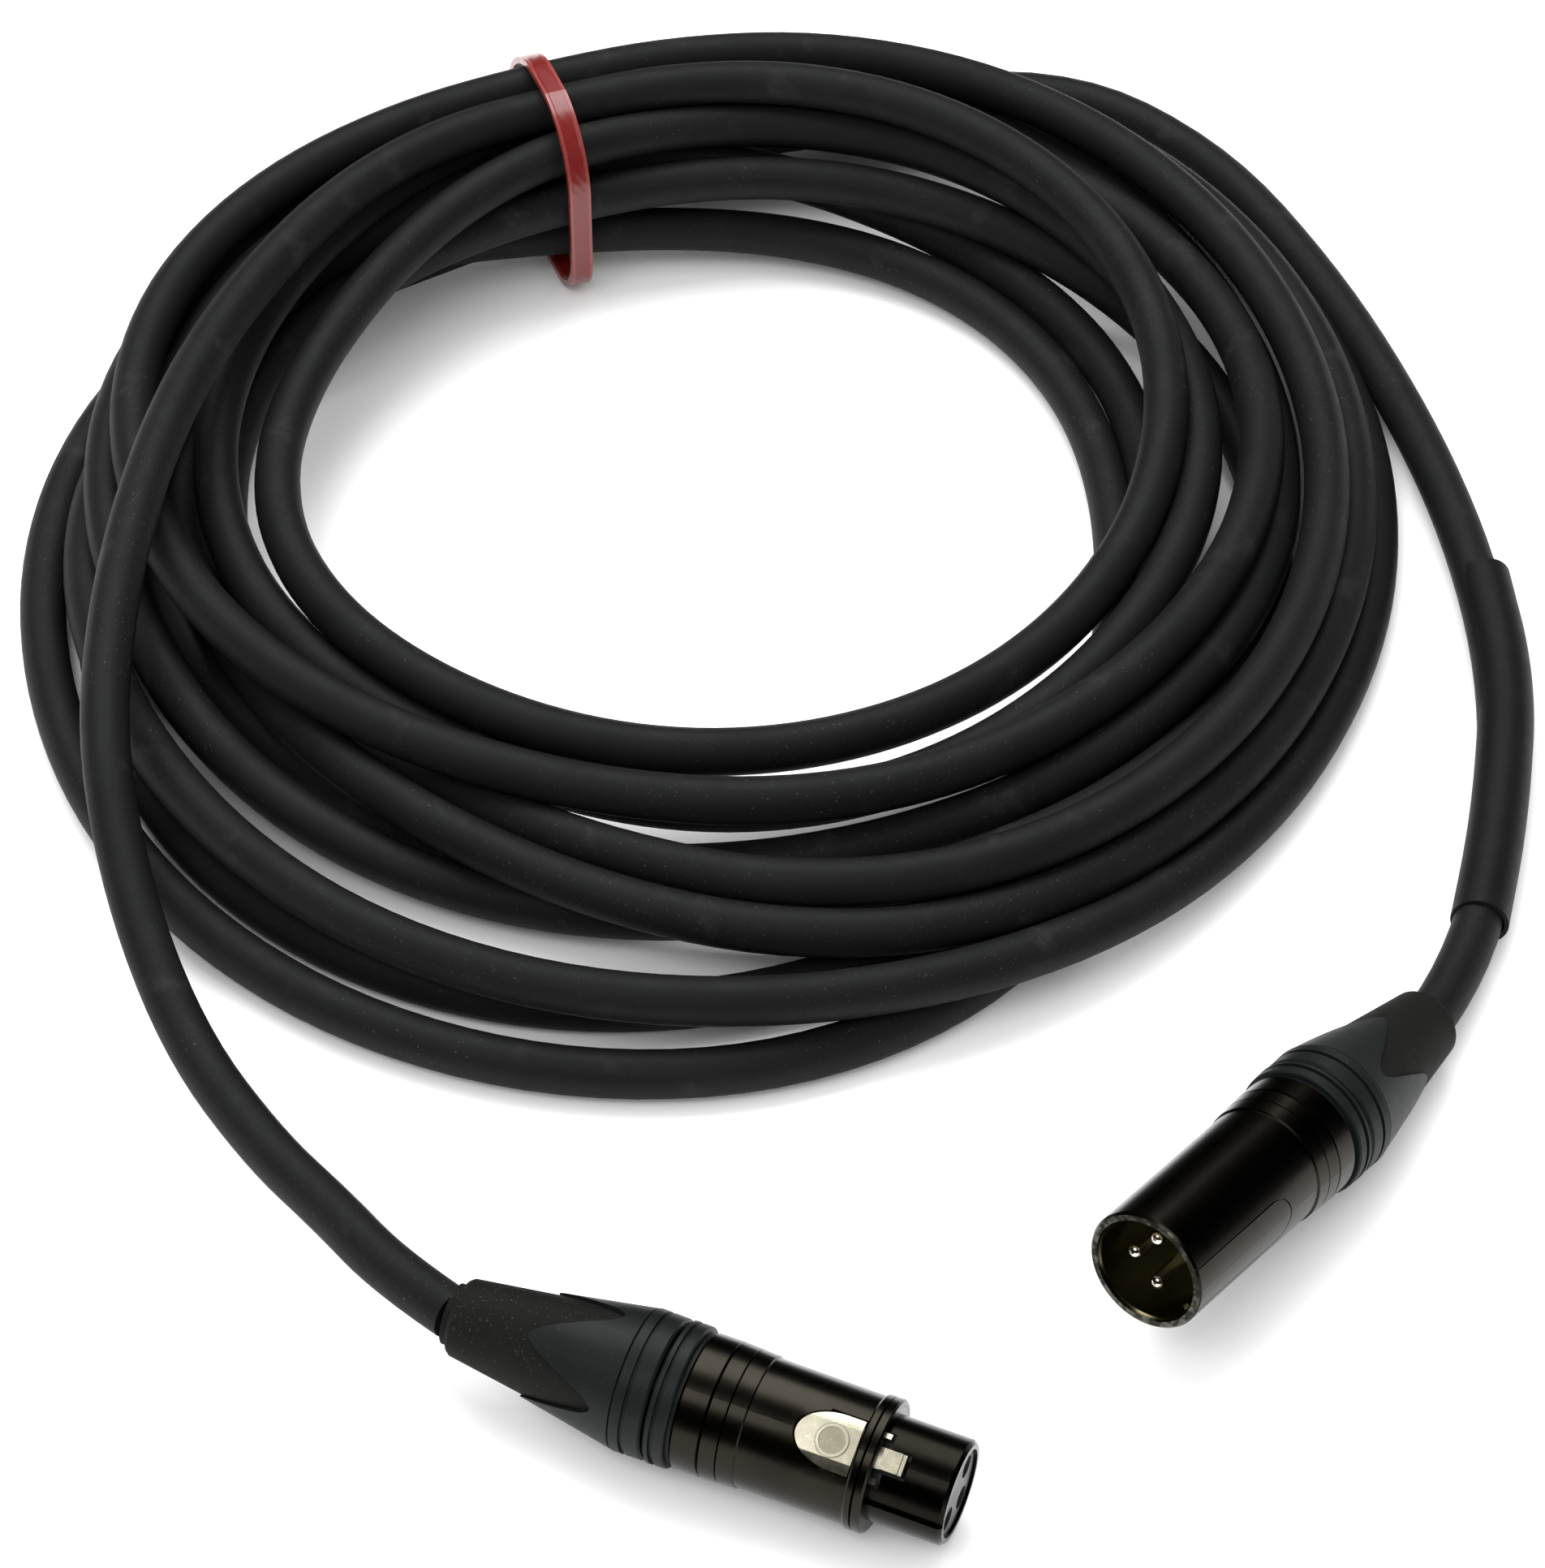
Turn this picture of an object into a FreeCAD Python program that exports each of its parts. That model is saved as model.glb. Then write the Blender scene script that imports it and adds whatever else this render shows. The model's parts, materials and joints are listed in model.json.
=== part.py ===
import FreeCAD, Part
import math
import os

# A microphone cable, coiled and tied, with a female XLR plug on one end and a male XLR plug on
# the other.  Millimetres, +Z up, origin at the centre of the base of the whole bounding box.
# Each plug is modelled along its own +X, from the rear of its boot (x = 0) to its mating face,
# with its own +Z through the middle of the latch or the keyway, and is then laid on the floor.

V = FreeCAD.Vector
X_AXIS = V(1, 0, 0)
Y_AXIS = V(0, 1, 0)
Z_AXIS = V(0, 0, 1)
ORIGIN = V(0, 0, 0)

# ---- driving dimensions ----------------------------------------------------------------
CABLE_D = 8.0              # jacket of the cable
CABLE_R = CABLE_D / 2

BOOT_REAR_R = 5.75         # the cone of the boot, drawn back to where the cable leaves it
BOOT_LIP_R = 4.7
BOOT_FRONT_R = 10.0        # boot under the nut's first ring
BOOT_LENGTH = 30.5
BOOT_BORE_R = 4.35
PETAL_TIP_X = 13.5         # the nut's four petals run back over the boot
PETAL_VALLEY_X = 26.3
PETAL_HEIGHT = 0.35
PETALS = 4
NUT_R = 10.9
NUT_RING_X = 29.5          # thin groove in front of the petals
NUT_BAND_X = 31.9          # plain band in front of the wide groove
NUT_END_X = 34.5           # an open gap lies between here and the code ring
NUT_BORE_R = 9.75
CHUCK_X = 22.5             # chuck inside the boot and the nut
CHUCK_END_X = 31.5
CHUCK_R = 6.9
CODE_RING_X = 35.0
SHELL_X = 38.8             # rear of the metal shell

SHELL_REAR_R = 10.3
SHELL_R = 9.8
SHELL_STEP_X = 48.9        # rear step of the shell ends here
SHELL_GROOVES_X = (43.3, 46.1)
SHELL_BORE_R = 8.5
THREAD_R = 9.4             # shell's threaded skirt inside the nut
THREAD_X = 32.0

FEMALE_RING_X = 65.6       # ring that holds the latch in
FEMALE_NOSE_X = 68.4
FEMALE_LENGTH = 80.0
NOSE_R = 7.95
NOSE_BORE_R = 6.7
INSERT_X = 50.0            # rear face of the female contact carrier
INSERT_R = 6.65
POCKET_X = 60.0            # the latch's pocket starts here
RING_BORE_R = 9.2

MALE_LENGTH = 81.0
SOCKET_R = 8.15            # bore of the male shell
SOCKET_FLOOR_X = 65.5
SOCKET_REAR_X = 50.0
MALE_INSERT_X = 57.0

PIN_R = 1.2
PIN_SHANK_R = 0.95         # where the pin is held in the insert
PIN_CIRCLE_R = 3.96
PIN_ANGLES = {"1": 180.0, "2": 0.0, "3": 270.0}
PIN_TIP_X = MALE_LENGTH - 2.5
CONTACT_BORE_R = 1.27
CONTACT_X = 47.0           # rear end of a contact, where its wire is soldered
CONTACT_R = 1.75
PIN_X = 52.0
WIRE_R = 0.7
WIRE_X = 33.3              # the conductors leave the jacket just in front of its cut end
CABLE_END_X = 33.0
SOLDER_DEPTH = 1.5         # how far a conductor reaches into its contact's cup

KEY_ANGLE = 48.0           # keyway of the nose and rib of the socket, from the top
LATCH_GAP = 0.25
PIVOT_X = 57.6             # the latch rocks about a knuckle under its rear end
PIVOT_Z = 8.2
WINDOW_TIP_X = 55.85
WINDOW_ARCH = 6.8          # length of the window's round rear end
WINDOW_WIDTH = 8.8
WINDOW_FLOOR_Z = 6.9
GRIP_X = 61.7              # round grip on the button
GRIP_R = 2.4
BUTTON_FLAT_Z = 9.3        # flat along the middle of the button
HOOK_X = 69.2
HOOK_END_X = 72.6
HOOK_WIDTH = 3.1
HOOK_TOP_Z = 9.1
ARM_Z = 7.1
NECK_X = 63.4
LUG_WIDTH = 7.6
LUG_END_X = 69.4
LEAF_Z = 6.5               # the leaf spring lies on the carrier here

PANEL_X = 60.0             # centre of the round end of the outline on the male shell
PANEL_R = 3.7

TIE_WIDTH = 4.0
TIE_THICKNESS = 1.2

# ---- where the pieces lie --------------------------------------------------------------
FRAME_SHIFT = V(16.11, -25.03, 0.0)

FEMALE_REAR = V(37.8, -128.2, 12.72)
FEMALE_HEADING = 14.4
FEMALE_TILT = 2.2          # nose down: it lies on its nut and on its front ring
FEMALE_ROLL = 29.5

MALE_REAR = V(118.4, 14.7, 5.79)
MALE_HEADING = -90.8
MALE_TILT = -9.6           # mouth up: it lies on the rear of its boot and on its nut
MALE_ROLL = 280.0

COIL_CENTRE = V(-46.0, 43.0, 0.0)
TIE_ANGLE = 147.0

# Outer shape of the coil, every 30 degrees from the tie: inner and outer radius, base, top.
COIL_STATIONS = [
    (72, 107, 1.3, 38),
    (73, 115, 0, 37),
    (72, 120, 0, 35),
    (71, 125, 0, 29),
    (70, 131, 0, 23),
    (70, 136, 0, 23),
    (70, 131, 0, 24),
    (69, 121, 0, 24),
    (70, 119, 0, 24),
    (70, 122, 0, 26),
    (72, 118, 0, 32),
    (72, 110, 0, 37),
]
SEGMENTS_PER_STATION = 2

# Routes of the two loose ends, from each boot to the coil.
FEMALE_ROUTE = [
    (25, -127.4, 12.5),
    (10, -123, 11.5),
    (-6.5, -118.3, 10.2),
    (-28.8, -109.7, 11.5),
    (-50.9, -97.2, 18.5),
    (-71.9, -80.2, 27.5),
    (-89.4, -59.7, 32),
    (-106, -36, 33.5),
    (-119, -11, 33.5),
    (-128, 15, 33.5),
]
MALE_ROUTE = [
    (116.6, 31, 4.8),
    (104, 60.5, 5.0),
    (87.9, 90.6, 5.0),
    (64.8, 117.6, 5.0),
    (37, 141, 5.0),
    (4, 165, 4.4),
    (-36, 181, 4.3),
    (-70, 177, 4.4),
    (-96, 154, 5),
    (-110, 127, 5.5),
    (-121, 99, 6),
]
SLEEVE_FIRST_RUN = 1       # the sleeve starts in this run of the male route, this share along it
SLEEVE_FIRST_SHARE = 0.27
SLEEVE_LAST_RUN = 3
SLEEVE_LAST_SHARE = 0.75
SLEEVE_R = 4.75


# ---- helpers ---------------------------------------------------------------------------
def turned(profile):
    """Solid of revolution about X from a closed outline of (x, radius) points."""
    points = [V(x, 0, r) for x, r in profile]
    points.append(points[0])
    return Part.Face(Part.makePolygon(points)).revolve(ORIGIN, X_AXIS, 360)


def rod(radius, x0, x1, y=0.0, z=0.0):
    return Part.makeCylinder(radius, x1 - x0, V(x0, y, z), X_AXIS)


def block(x0, x1, half_width, z0, z1):
    return Part.makeBox(x1 - x0, 2 * half_width, z1 - z0, V(x0, -half_width, z0))


def around(angle, radius):
    """y and z of a point at this angle round the plug's axis."""
    return radius * math.cos(math.radians(angle)), radius * math.sin(math.radians(angle))


def grooved(shape, centre_xs, radius, depth, width):
    """Cut V grooves round a turned piece."""
    for x in centre_xs:
        groove = turned([(x - width / 2, radius + 0.05), (x + width / 2, radius + 0.05), (x, radius - depth)])
        shape = shape.cut(groove)
    return shape


def trench(x0, x1, floor_r):
    """Cutter for a square groove round a turned piece."""
    return rod(NUT_R + 1.0, x0, x1).cut(rod(floor_r, x0 - 1.0, x1 + 1.0))


def laid(shape, rear, heading, tilt, roll):
    """Place a plug's piece on the floor."""
    rotation = FreeCAD.Rotation(Z_AXIS, heading)
    rotation = rotation.multiply(FreeCAD.Rotation(Y_AXIS, tilt))
    rotation = rotation.multiply(FreeCAD.Rotation(X_AXIS, roll))
    placed = shape.copy()
    placed.Placement = FreeCAD.Placement(rear + FRAME_SHIFT, rotation)
    return placed


# ---- pieces that both plugs have -------------------------------------------------------
def boot_radius(x):
    return BOOT_REAR_R + (BOOT_FRONT_R - BOOT_REAR_R) * x / BOOT_LENGTH


def boot():
    """Soft boot: a thin lip round the cable, a rounded shoulder and a long cone."""
    return turned([
        (0.0, BOOT_BORE_R),
        (0.0, BOOT_LIP_R),
        (1.0, BOOT_LIP_R),
        (1.1, boot_radius(1.1) - 0.7),
        (1.3, boot_radius(1.3) - 0.3),
        (1.8, boot_radius(1.8)),
        (BOOT_LENGTH, BOOT_FRONT_R),
        (BOOT_LENGTH, 7.0),
        (22.0, 7.0),
        (20.0, BOOT_BORE_R),
    ])


def petal_gap(angle):
    """Cutter between two petals: its edge is a wave, so tips and valleys are both round."""
    half = boot_radius(PETAL_TIP_X) * math.sin(math.radians(180.0 / PETALS)) + 1.0
    middle = (PETAL_TIP_X + PETAL_VALLEY_X) / 2
    swing = (PETAL_VALLEY_X - PETAL_TIP_X) / 2
    steps = 12
    edge = []
    for i in range(steps + 1):
        y = half * (2.0 * i / steps - 1.0)
        edge.append(V(middle + swing * math.cos(math.pi * y / half), y, 0))
    wave = Part.BSplineCurve()
    wave.interpolate(edge)
    rear = PETAL_TIP_X - 4.0
    outline = Part.Wire([
        wave.toShape(),
        Part.makeLine(edge[-1], V(rear, half, 0)),
        Part.makeLine(V(rear, half, 0), V(rear, -half, 0)),
        Part.makeLine(V(rear, -half, 0), edge[0]),
    ])
    cutter = Part.Face(outline).extrude(V(0, 0, NUT_R + 2))
    cutter.rotate(ORIGIN, X_AXIS, angle)
    return cutter


def nut():
    """Hard nut: four petals over the boot, a thin ring and a plain band."""
    over = PETAL_HEIGHT
    body = turned([
        (PETAL_TIP_X - 1.0, boot_radius(PETAL_TIP_X - 1.0)),
        (PETAL_TIP_X, boot_radius(PETAL_TIP_X) + over),
        (NUT_RING_X, NUT_R - 0.1),
        (NUT_RING_X + 0.3, NUT_R),
        (NUT_END_X - 0.35, NUT_R - 0.1),
        (NUT_END_X, NUT_R - 0.5),
        (NUT_END_X, NUT_BORE_R),
        (BOOT_LENGTH, NUT_BORE_R),
        (BOOT_LENGTH, BOOT_FRONT_R),
    ])
    for i in range(PETALS):
        body = body.cut(petal_gap(360.0 * (i + 0.5) / PETALS))
    body = grooved(body, (NUT_RING_X,), NUT_R, 0.4, 0.45)
    return body.cut(trench(NUT_BAND_X - 0.7, NUT_BAND_X, NUT_R - 0.5))


def code_ring():
    """Loose coloured ring between the nut and the shell, with two ridges."""
    ring = turned([
        (CODE_RING_X, THREAD_R + 0.1),
        (CODE_RING_X, NUT_R - 0.3),
        (CODE_RING_X + 0.25, NUT_R),
        (SHELL_X - 0.9, NUT_R - 0.1),
        (SHELL_X - 0.65, NUT_R - 0.35),
        (SHELL_X - 0.65, SHELL_REAR_R - 0.5),
        (SHELL_X, SHELL_REAR_R - 0.5),
        (SHELL_X, THREAD_R + 0.1),
    ])
    return ring.cut(trench(CODE_RING_X + 0.85, CODE_RING_X + 1.6, NUT_R - 0.55))


def chuck():
    """Split collar that the nut squeezes onto the cable."""
    collar = turned([
        (CHUCK_X, CABLE_R),
        (CHUCK_X, CHUCK_R - 0.7),
        (CHUCK_X + 2.5, CHUCK_R),
        (CHUCK_END_X, CHUCK_R),
        (CHUCK_END_X, CABLE_R),
    ])
    for angle in (45.0, 165.0, 285.0):
        slot = block(CHUCK_X - 0.5, CHUCK_END_X - 2.5, 0.5, 0.0, CHUCK_R + 1.0)
        slot.rotate(ORIGIN, X_AXIS, angle)
        collar = collar.cut(slot)
    return collar


def cable_end():
    """End of the jacket, inside the boot and the chuck."""
    return rod(CABLE_R, 0.0, CABLE_END_X)


def wire(angle, contact_x):
    """One conductor, from the cut end of the jacket into the cup of its contact."""
    y0, z0 = around(angle, 1.6)
    y1, z1 = around(angle, PIN_CIRCLE_R)
    start = V(WIRE_X, y0, z0)
    end = V(contact_x + SOLDER_DEPTH, y1, z1)
    return Part.makeCylinder(WIRE_R, (end - start).Length, start, end - start)


# ---- female plug -----------------------------------------------------------------------
def latch_window(gap):
    """Round-ended opening on the plug's upper side, narrower than the real hole by gap all round."""
    half = WINDOW_WIDTH / 2 - gap
    centre_x = WINDOW_TIP_X + WINDOW_ARCH
    far_x = FEMALE_RING_X - gap if gap else FEMALE_NOSE_X
    centre = V(centre_x, 0, WINDOW_FLOOR_Z)
    oval = Part.Ellipse(centre, WINDOW_ARCH - gap, half)
    arch = Part.ArcOfEllipse(oval, math.pi / 2, 3 * math.pi / 2).toShape()
    outline = Part.Wire([
        arch,
        Part.makeLine(V(centre_x, -half, WINDOW_FLOOR_Z), V(far_x, -half, WINDOW_FLOOR_Z)),
        Part.makeLine(V(far_x, -half, WINDOW_FLOOR_Z), V(far_x, half, WINDOW_FLOOR_Z)),
        Part.makeLine(V(far_x, half, WINDOW_FLOOR_Z), V(centre_x, half, WINDOW_FLOOR_Z)),
    ])
    return Part.Face(outline).extrude(V(0, 0, 6))


def rear_of_shell():
    """Outline of a shell from its threaded skirt to the end of its rear step."""
    return [
        (THREAD_X, THREAD_R),
        (SHELL_X, THREAD_R),
        (SHELL_X, SHELL_REAR_R - 0.3),
        (SHELL_X + 0.4, SHELL_REAR_R),
        (SHELL_GROOVES_X[0], SHELL_REAR_R),
        (SHELL_STEP_X - 0.2, SHELL_REAR_R - 0.25),
        (SHELL_STEP_X, SHELL_R),
    ]


def female_shell():
    body = turned(rear_of_shell() + [
        (FEMALE_RING_X, SHELL_R - 0.1),
        (FEMALE_RING_X, RING_BORE_R - 0.05),
        (FEMALE_NOSE_X, RING_BORE_R - 0.05),
        (FEMALE_NOSE_X, NOSE_R),
        (FEMALE_LENGTH - 0.6, NOSE_R),
        (FEMALE_LENGTH, NOSE_R - 0.5),
        (FEMALE_LENGTH, NOSE_BORE_R),
        (POCKET_X, NOSE_BORE_R),
        (POCKET_X, SHELL_BORE_R),
        (THREAD_X, SHELL_BORE_R),
    ])
    body = grooved(body, SHELL_GROOVES_X, SHELL_REAR_R, 0.35, 0.5)
    body = body.cut(latch_window(0.0))
    body = body.cut(block(POCKET_X, HOOK_END_X + 0.5, HOOK_WIDTH / 2 + 0.4, 4.0, 12.0))
    body = body.cut(block(POCKET_X, FEMALE_RING_X, WINDOW_WIDTH / 2, 5.0, 12.0))
    body = body.cut(block(POCKET_X, LUG_END_X + 0.4, LUG_WIDTH / 2 + 0.3, 5.0, 12.0))
    keyway = block(FEMALE_NOSE_X - 0.1, FEMALE_LENGTH + 1, 0.8, NOSE_R - 0.7, NOSE_R + 1)
    keyway.rotate(ORIGIN, X_AXIS, KEY_ANGLE)
    return body.cut(keyway)


def female_front_ring():
    ring = turned([
        (FEMALE_RING_X, RING_BORE_R),
        (FEMALE_RING_X, SHELL_R + 0.05),
        (FEMALE_RING_X + 0.3, SHELL_R + 0.3),
        (FEMALE_NOSE_X - 0.3, SHELL_R + 0.3),
        (FEMALE_NOSE_X, SHELL_R),
        (FEMALE_NOSE_X, RING_BORE_R),
    ])
    return grooved(ring, (FEMALE_RING_X + 1.3,), SHELL_R + 0.3, 0.3, 0.4)


def latch():
    """Push button, neck under the ring, two lugs and the hook that holds the mating plug."""
    skin = rod(SHELL_R - 0.15, 40, 70).cut(rod(NOSE_R, 39, 71))
    button = latch_window(LATCH_GAP).common(skin).common(block(50, 70, 6, 5, BUTTON_FLAT_Z))
    grip = Part.makeCylinder(GRIP_R, 1.25, V(GRIP_X, 0, BUTTON_FLAT_Z - 1.0), Z_AXIS)
    grip = grip.cut(Part.makeCylinder(GRIP_R - 0.4, 1, V(GRIP_X, 0, BUTTON_FLAT_Z + 0.1), Z_AXIS))
    under_ring = rod(RING_BORE_R - 0.55, 60, 71).cut(rod(NOSE_R, 59, 72))
    neck = block(NECK_X, LUG_END_X, LUG_WIDTH / 2, 6.5, 9.6).common(under_ring)
    for side in (-1, 1):
        neck = neck.cut(Part.makeBox(1.5, 1.4, 6, V(LUG_END_X - 1.1, side * 2.3 - 0.7, 6)))
    knuckle = Part.makeCylinder(0.6, 3.2, V(PIVOT_X, -1.6, PIVOT_Z), Y_AXIS)
    arm = block(66.0, HOOK_END_X, HOOK_WIDTH / 2, ARM_Z, ARM_Z + 1.2)
    hook = block(HOOK_X, HOOK_END_X, HOOK_WIDTH / 2, ARM_Z, HOOK_TOP_Z)
    hook = hook.cut(block(HOOK_END_X - 0.6, HOOK_END_X + 1, HOOK_WIDTH, HOOK_TOP_Z - 0.35, HOOK_TOP_Z + 1))
    return button.fuse([grip, neck, knuckle, arm, hook]).removeSplitter()


def latch_spring():
    """Leaf that pushes the latch back out."""
    rear = PIVOT_X - 0.8
    bend = PIVOT_X + 2.2
    front = PIVOT_X + 6.2
    leaf = Part.makePolygon([
        V(rear, 0, LEAF_Z),
        V(bend, 0, LEAF_Z),
        V(front, 0, LEAF_Z + 0.65),
        V(front, 0, LEAF_Z + 0.95),
        V(bend, 0, LEAF_Z + 0.4),
        V(rear, 0, LEAF_Z + 0.4),
        V(rear, 0, LEAF_Z),
    ])
    spring = Part.Face(leaf).extrude(V(0, 2.4, 0))
    spring.translate(V(0, -1.2, 0))
    return spring


def female_insert():
    body = turned([
        (INSERT_X, 0.0),
        (INSERT_X, SHELL_BORE_R - 0.1),
        (INSERT_X + 1.9, SHELL_BORE_R - 0.1),
        (INSERT_X + 1.9, INSERT_R),
        (FEMALE_LENGTH - 0.5, INSERT_R),
        (FEMALE_LENGTH - 0.5, 0.0),
    ])
    for angle in PIN_ANGLES.values():
        y, z = around(angle, PIN_CIRCLE_R)
        body = body.cut(rod(CONTACT_R, INSERT_X - 1, FEMALE_LENGTH + 1, y, z))
    return body.cut(block(POCKET_X + 0.4, HOOK_END_X + 0.8, 9.0, 4.8, 9.0))


def contact(angle):
    """Sleeve that a pin of the mating plug slides into, with a solder cup behind."""
    y, z = around(angle, PIN_CIRCLE_R)
    sleeve = rod(CONTACT_R, CONTACT_X, FEMALE_LENGTH - 1.0, y, z)
    sleeve = sleeve.cut(rod(CONTACT_BORE_R, 62.0, FEMALE_LENGTH, y, z))
    return sleeve.cut(rod(1.1, CONTACT_X - 1.0, CONTACT_X + 3.5, y, z))


# ---- male plug -------------------------------------------------------------------------
def panel_line():
    """Fine engraved outline on the shell: a blank panel with a round rear end, open at the mouth."""
    rings = []
    for radius in (PANEL_R + 0.12, PANEL_R - 0.12):
        end = Part.makeCylinder(radius, 5, V(PANEL_X, 0, 6), Z_AXIS)
        rings.append(end.fuse(block(PANEL_X, MALE_LENGTH + 1, radius, 6, 11)))
    return rings[0].cut(rings[1]).cut(rod(SHELL_R - 0.25, 40, MALE_LENGTH + 2))


def male_shell():
    body = turned(rear_of_shell() + [
        (MALE_LENGTH - 0.4, SHELL_R - 0.1),
        (MALE_LENGTH, SHELL_R - 0.45),
        (MALE_LENGTH, SOCKET_R + 0.35),
        (MALE_LENGTH - 0.7, SOCKET_R),
        (SOCKET_REAR_X, SOCKET_R),
        (SOCKET_REAR_X, SHELL_BORE_R),
        (THREAD_X, SHELL_BORE_R),
    ])
    body = grooved(body, SHELL_GROOVES_X, SHELL_REAR_R, 0.35, 0.5)
    body = body.cut(panel_line())
    rib = block(SOCKET_FLOOR_X, MALE_LENGTH - 3.0, 0.6, SOCKET_R - 0.5, SOCKET_R + 0.5)
    rib.rotate(ORIGIN, X_AXIS, -KEY_ANGLE)
    return body.fuse(rib).removeSplitter()


def male_insert():
    body = rod(SOCKET_R - 0.03, MALE_INSERT_X, SOCKET_FLOOR_X)
    for angle in PIN_ANGLES.values():
        y, z = around(angle, PIN_CIRCLE_R)
        body = body.cut(rod(PIN_SHANK_R, MALE_INSERT_X - 1, SOCKET_FLOOR_X + 1, y, z))
    return body


def pin(angle):
    """Round-nosed pin with a solder cup at its rear."""
    y, z = around(angle, PIN_CIRCLE_R)
    shaft = rod(PIN_R, SOCKET_FLOOR_X, PIN_TIP_X - PIN_R, y, z)
    tip = Part.makeSphere(PIN_R, V(PIN_TIP_X - PIN_R, y, z))
    shank = rod(PIN_SHANK_R, PIN_X, SOCKET_FLOOR_X, y, z)
    cup = rod(WIRE_R + 0.1, PIN_X - 1.0, PIN_X + 4.0, y, z)
    return shaft.fuse(tip).fuse(shank).cut(cup).removeSplitter()


# ---- cable -----------------------------------------------------------------------------
def corner_radii(points):
    """Arc at each inner point: as large as the two runs that meet there allow."""
    radii = []
    for before, here, after in zip(points, points[1:], points[2:]):
        run_in = here - before
        run_out = after - here
        turn = run_in.getAngle(run_out)
        radii.append(0.45 * min(run_in.Length, run_out.Length) / math.tan(turn / 2))
    return radii


def rounded_path(points, radii):
    """Straight runs joined by tangent arcs."""
    edges = []
    start = points[0]
    for before, here, after, radius in zip(points, points[1:], points[2:], radii):
        back = (before - here).normalize()
        onward = (after - here).normalize()
        turn = math.pi - back.getAngle(onward)
        cut = radius * math.tan(turn / 2)
        arc_start = here + back * cut
        arc_end = here + onward * cut
        bisector = (back + onward).normalize()
        middle = here + bisector * (radius / math.cos(turn / 2) - radius)
        edges.append(Part.LineSegment(start, arc_start).toShape())
        edges.append(Part.Arc(arc_start, middle, arc_end).toShape())
        start = arc_end
    edges.append(Part.LineSegment(start, points[-1]).toShape())
    return Part.Wire(edges)


def tube(points, radii, radius):
    """Round tube along a route, with its volume compared with section times length."""
    path = rounded_path(points, radii)
    ring = Part.Wire(Part.makeCircle(radius, points[0], points[1] - points[0]))
    solid = path.makePipeShell([ring], True, False)
    expected = math.pi * radius ** 2 * path.Length
    print("tube length %.1f, volume / (section x length) %.4f" % (path.Length, solid.Volume / expected))
    return solid


def shifted(points):
    return [V(*p) + FRAME_SHIFT for p in points]


def smooth_station(values, position):
    """Value at a fractional place round a closed list, by a periodic cubic."""
    i = int(math.floor(position))
    f = position - i
    n = len(values)
    a, b, c, d = (values[(i + k) % n] for k in (-1, 0, 1, 2))
    return b + 0.5 * f * (c - a + f * (2 * a - 5 * b + 4 * c - d + f * (3 * (b - c) + d - a)))


def section_edges(station, angle, grow=0.0):
    """Outline of the bundle in the half-plane at this angle: four arcs and four lines."""
    inner, outer, base, top = station
    low = 0.22 * (top - base)
    high = 0.42 * (top - base)
    inner_wide = 0.8 * high
    outer_wide = 0.45 * (outer - inner)
    side = math.radians(angle)
    outward = V(math.cos(side), math.sin(side), 0)

    def quarter(r_centre, z_centre, r_half, z_half, start_angle):
        points = []
        for turned_by in (start_angle, start_angle + 45, start_angle + 90):
            a = math.radians(turned_by)
            r = r_centre + (r_half + grow) * math.cos(a)
            z = z_centre + (z_half + grow) * math.sin(a)
            points.append(COIL_CENTRE + FRAME_SHIFT + outward * r + Z_AXIS * z)
        return Part.Arc(*points).toShape()

    corners = [
        quarter(outer - low, base + low, low, low, -90),
        quarter(outer - outer_wide, top - high, outer_wide, high, 0),
        quarter(inner + inner_wide, top - high, inner_wide, high, 90),
        quarter(inner + low, base + low, low, low, 180),
    ]
    edges = []
    for i, arc in enumerate(corners):
        following = corners[(i + 1) % 4]
        edges.append(arc)
        edges.append(Part.makeLine(arc.Vertexes[-1].Point, following.Vertexes[0].Point))
    return edges


def coil_section(position):
    """Section of the coil at a place counted in stations from the tie."""
    station = [smooth_station([s[k] for s in COIL_STATIONS], position) for k in range(4)]
    station[2] = max(station[2], 0.0)
    return section_edges(station, TIE_ANGLE + position * 360.0 / len(COIL_STATIONS))


def side_face(edge, next_edge):
    """Flat face where the bundle lies on the floor, ruled face everywhere else."""
    corners = [edge.Vertexes[0].Point, edge.Vertexes[-1].Point]
    corners += [next_edge.Vertexes[-1].Point, next_edge.Vertexes[0].Point]
    if max(corner.z for corner in corners) < 0.001:
        return Part.Face(Part.makePolygon(corners + corners[:1]))
    return Part.makeRuledSurface(edge, next_edge)


def cable_coil():
    """Outer shape of the tied turns: faces between sections all the way round."""
    count = len(COIL_STATIONS) * SEGMENTS_PER_STATION
    sections = [coil_section(i / SEGMENTS_PER_STATION) for i in range(count)]
    faces = []
    for i, section in enumerate(sections):
        following = sections[(i + 1) % count]
        for edge, next_edge in zip(section, following):
            faces.append(side_face(edge, next_edge))
    shell = Part.makeShell(faces)
    shell.sewShape()
    solid = Part.makeSolid(Part.Shell(shell.Faces))
    if solid.Volume < 0:
        solid.reverse()
    return solid


def heat_shrink(points, radii):
    """Sleeve over part of the male route."""
    first_run = points[SLEEVE_FIRST_RUN + 1] - points[SLEEVE_FIRST_RUN]
    last_run = points[SLEEVE_LAST_RUN + 1] - points[SLEEVE_LAST_RUN]
    first = points[SLEEVE_FIRST_RUN] + first_run * SLEEVE_FIRST_SHARE
    last = points[SLEEVE_LAST_RUN] + last_run * SLEEVE_LAST_SHARE
    route = [first] + points[SLEEVE_FIRST_RUN + 1:SLEEVE_LAST_RUN + 1] + [last]
    arcs = radii[SLEEVE_FIRST_RUN:SLEEVE_LAST_RUN]
    return tube(route, arcs, SLEEVE_R).cut(tube(route, arcs, CABLE_R))


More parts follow.
